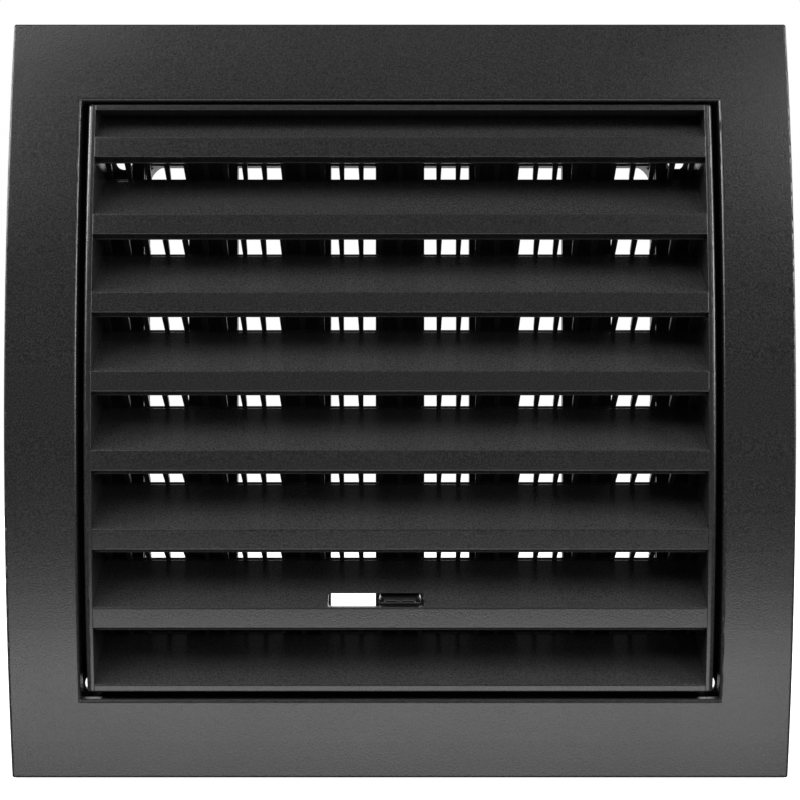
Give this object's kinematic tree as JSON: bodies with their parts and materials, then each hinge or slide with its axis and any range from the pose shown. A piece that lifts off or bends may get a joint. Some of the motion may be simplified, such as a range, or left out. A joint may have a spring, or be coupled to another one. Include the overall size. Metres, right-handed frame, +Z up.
{
  "type": "louvred air grille",
  "caption": "Square bulged wall ventilation grille with a lift-off louvre insert, insect combs and a sliding shutter worked by a tab.",
  "frame": {"origin": "middle of the wall plane, which the wall plate's and the frame's backs lie on, at half the frame's width and height", "axes": "+Y into the wall, so the room side faces -Y; +Z up; +X to the right seen from the room"},
  "size_m": [0.19, 0.036, 0.185],
  "materials": {
    "frame_plastic": "fine satin anthracite with faint mica sparkle",
    "insert_plastic": "fine satin anthracite with faint mica sparkle",
    "comb_plastic": "smooth satin dark grey",
    "base_plastic": "smooth satin black grey",
    "shutter_plastic": "smooth satin black",
    "tab_gloss": "gloss black"
  },
  "bodies": {
    "housing": {"front_frame": "frame_plastic", "frame_clips": "frame_plastic", "base_plate": "base_plastic", "rear_collar": "base_plastic", "shutter_guide_top": "base_plastic", "shutter_guide_bottom": "base_plastic", "peg_sockets": "base_plastic"},
    "shutter": {"shutter_slider": "shutter_plastic", "shutter_tab": "tab_gloss"},
    "louvre_insert": {"insert_rail_left": "insert_plastic", "insert_rail_right": "insert_plastic", "insert_rail_top": "insert_plastic", "louvre_blade_1": "insert_plastic", "louvre_blade_2": "insert_plastic", "louvre_blade_3": "insert_plastic", "louvre_blade_4": "insert_plastic", "louvre_blade_5": "insert_plastic", "louvre_blade_6": "insert_plastic", "louvre_blade_7": "insert_plastic", "louvre_sill": "insert_plastic", "insect_comb_1": "comb_plastic", "insect_comb_2": "comb_plastic", "insect_comb_3": "comb_plastic", "insect_comb_4": "comb_plastic", "insect_comb_5": "comb_plastic", "insect_comb_6": "comb_plastic", "insect_comb_7": "comb_plastic", "insert_pegs": "insert_plastic"}
  },
  "joints": [
    {"name": "shutter_slide", "type": "slide", "parent": "housing", "child": "shutter", "axis": [-1, 0, 0], "range_m": [0, 0.01185]},
    {"name": "louvre_insert_release", "type": "slide", "parent": "housing", "child": "louvre_insert", "axis": [0, -1, 0], "range_m": [0, 0.04]}
  ]
}
